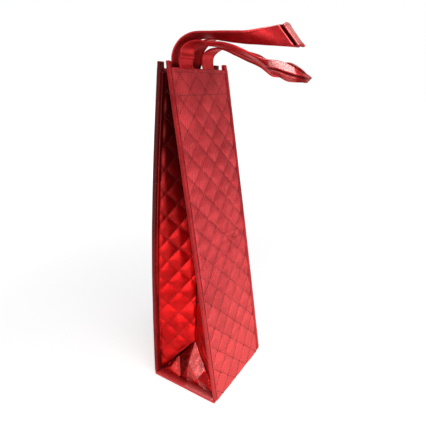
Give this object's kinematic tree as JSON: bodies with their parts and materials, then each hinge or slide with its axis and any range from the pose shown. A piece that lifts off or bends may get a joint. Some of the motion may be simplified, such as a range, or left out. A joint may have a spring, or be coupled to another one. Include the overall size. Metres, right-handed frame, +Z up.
{
  "type": "gift bag",
  "caption": "Tall narrow quilted foil-cloth bottle gift bag with folded side gussets, bound seams, an opening mouth and two swinging strap handles.",
  "frame": {"origin": "middle of the base's underside, on the surface that the bag stands on", "axes": "+X across the front to the right, -Y to the front, over which the handles hang, +Z up to the mouth"},
  "size_m": [0.1, 0.1677, 0.397],
  "materials": {
    "foil_cloth": "quilted metallic foil cloth, red, fine ribs",
    "gusset_cloth": "quilted metallic foil cloth, red, smooth",
    "binding_tape": "folded foil tape, edge stitched",
    "strap": "doubled foil cloth strap, edge stitched",
    "wadding": "thin polyester wadding",
    "lining": "plain woven lining, dark red",
    "board": "grey card stiffener"
  },
  "bodies": {
    "base": {"base_skin": "foil_cloth", "base_wadding": "wadding", "base_lining": "lining", "base_board": "board", "base_left_binding": "binding_tape", "base_right_binding": "binding_tape", "left_gusset_skin": "gusset_cloth", "left_gusset_wadding": "wadding", "left_gusset_lining": "lining", "right_gusset_skin": "gusset_cloth", "right_gusset_wadding": "wadding", "right_gusset_lining": "lining"},
    "front_wall": {"front_skin": "foil_cloth", "front_wadding": "wadding", "front_lining": "lining", "front_hem_facing": "foil_cloth", "front_left_binding": "binding_tape", "front_right_binding": "binding_tape", "front_handle_left_leg": "strap", "front_handle_right_leg": "strap"},
    "front_handle": {"front_handle_loop": "strap"},
    "back_wall": {"back_skin": "foil_cloth", "back_wadding": "wadding", "back_lining": "lining", "back_hem_facing": "foil_cloth", "back_left_binding": "binding_tape", "back_right_binding": "binding_tape", "back_handle_left_leg": "strap", "back_handle_right_leg": "strap"},
    "back_handle": {"back_handle_loop": "strap"}
  },
  "joints": [
    {"name": "back_wall_open", "type": "hinge", "parent": "base", "child": "back_wall", "pos_m": [0, 0.046, 0.00255], "axis": [-1, 0, 0], "range_deg": [0, 6]},
    {"name": "front_wall_open", "type": "hinge", "parent": "base", "child": "front_wall", "pos_m": [0, -0.046, 0.00255], "axis": [1, 0, 0], "range_deg": [0, 6]},
    {"name": "back_handle_swing", "type": "hinge", "parent": "back_wall", "child": "back_handle", "pos_m": [-0.004, -0.00295, 0.38424], "axis": [1, 0, 0], "range_deg": [-90, 0]},
    {"name": "front_handle_swing", "type": "hinge", "parent": "front_wall", "child": "front_handle", "pos_m": [-0.004, -0.01095, 0.37783], "axis": [1, 0, 0], "range_deg": [-90, 0]}
  ],
  "couplings": [
    {"joint": "front_wall_open", "follows": "back_wall_open", "ratio": 1},
    {"joint": "front_handle_swing", "follows": "back_handle_swing", "ratio": 1}
  ]
}
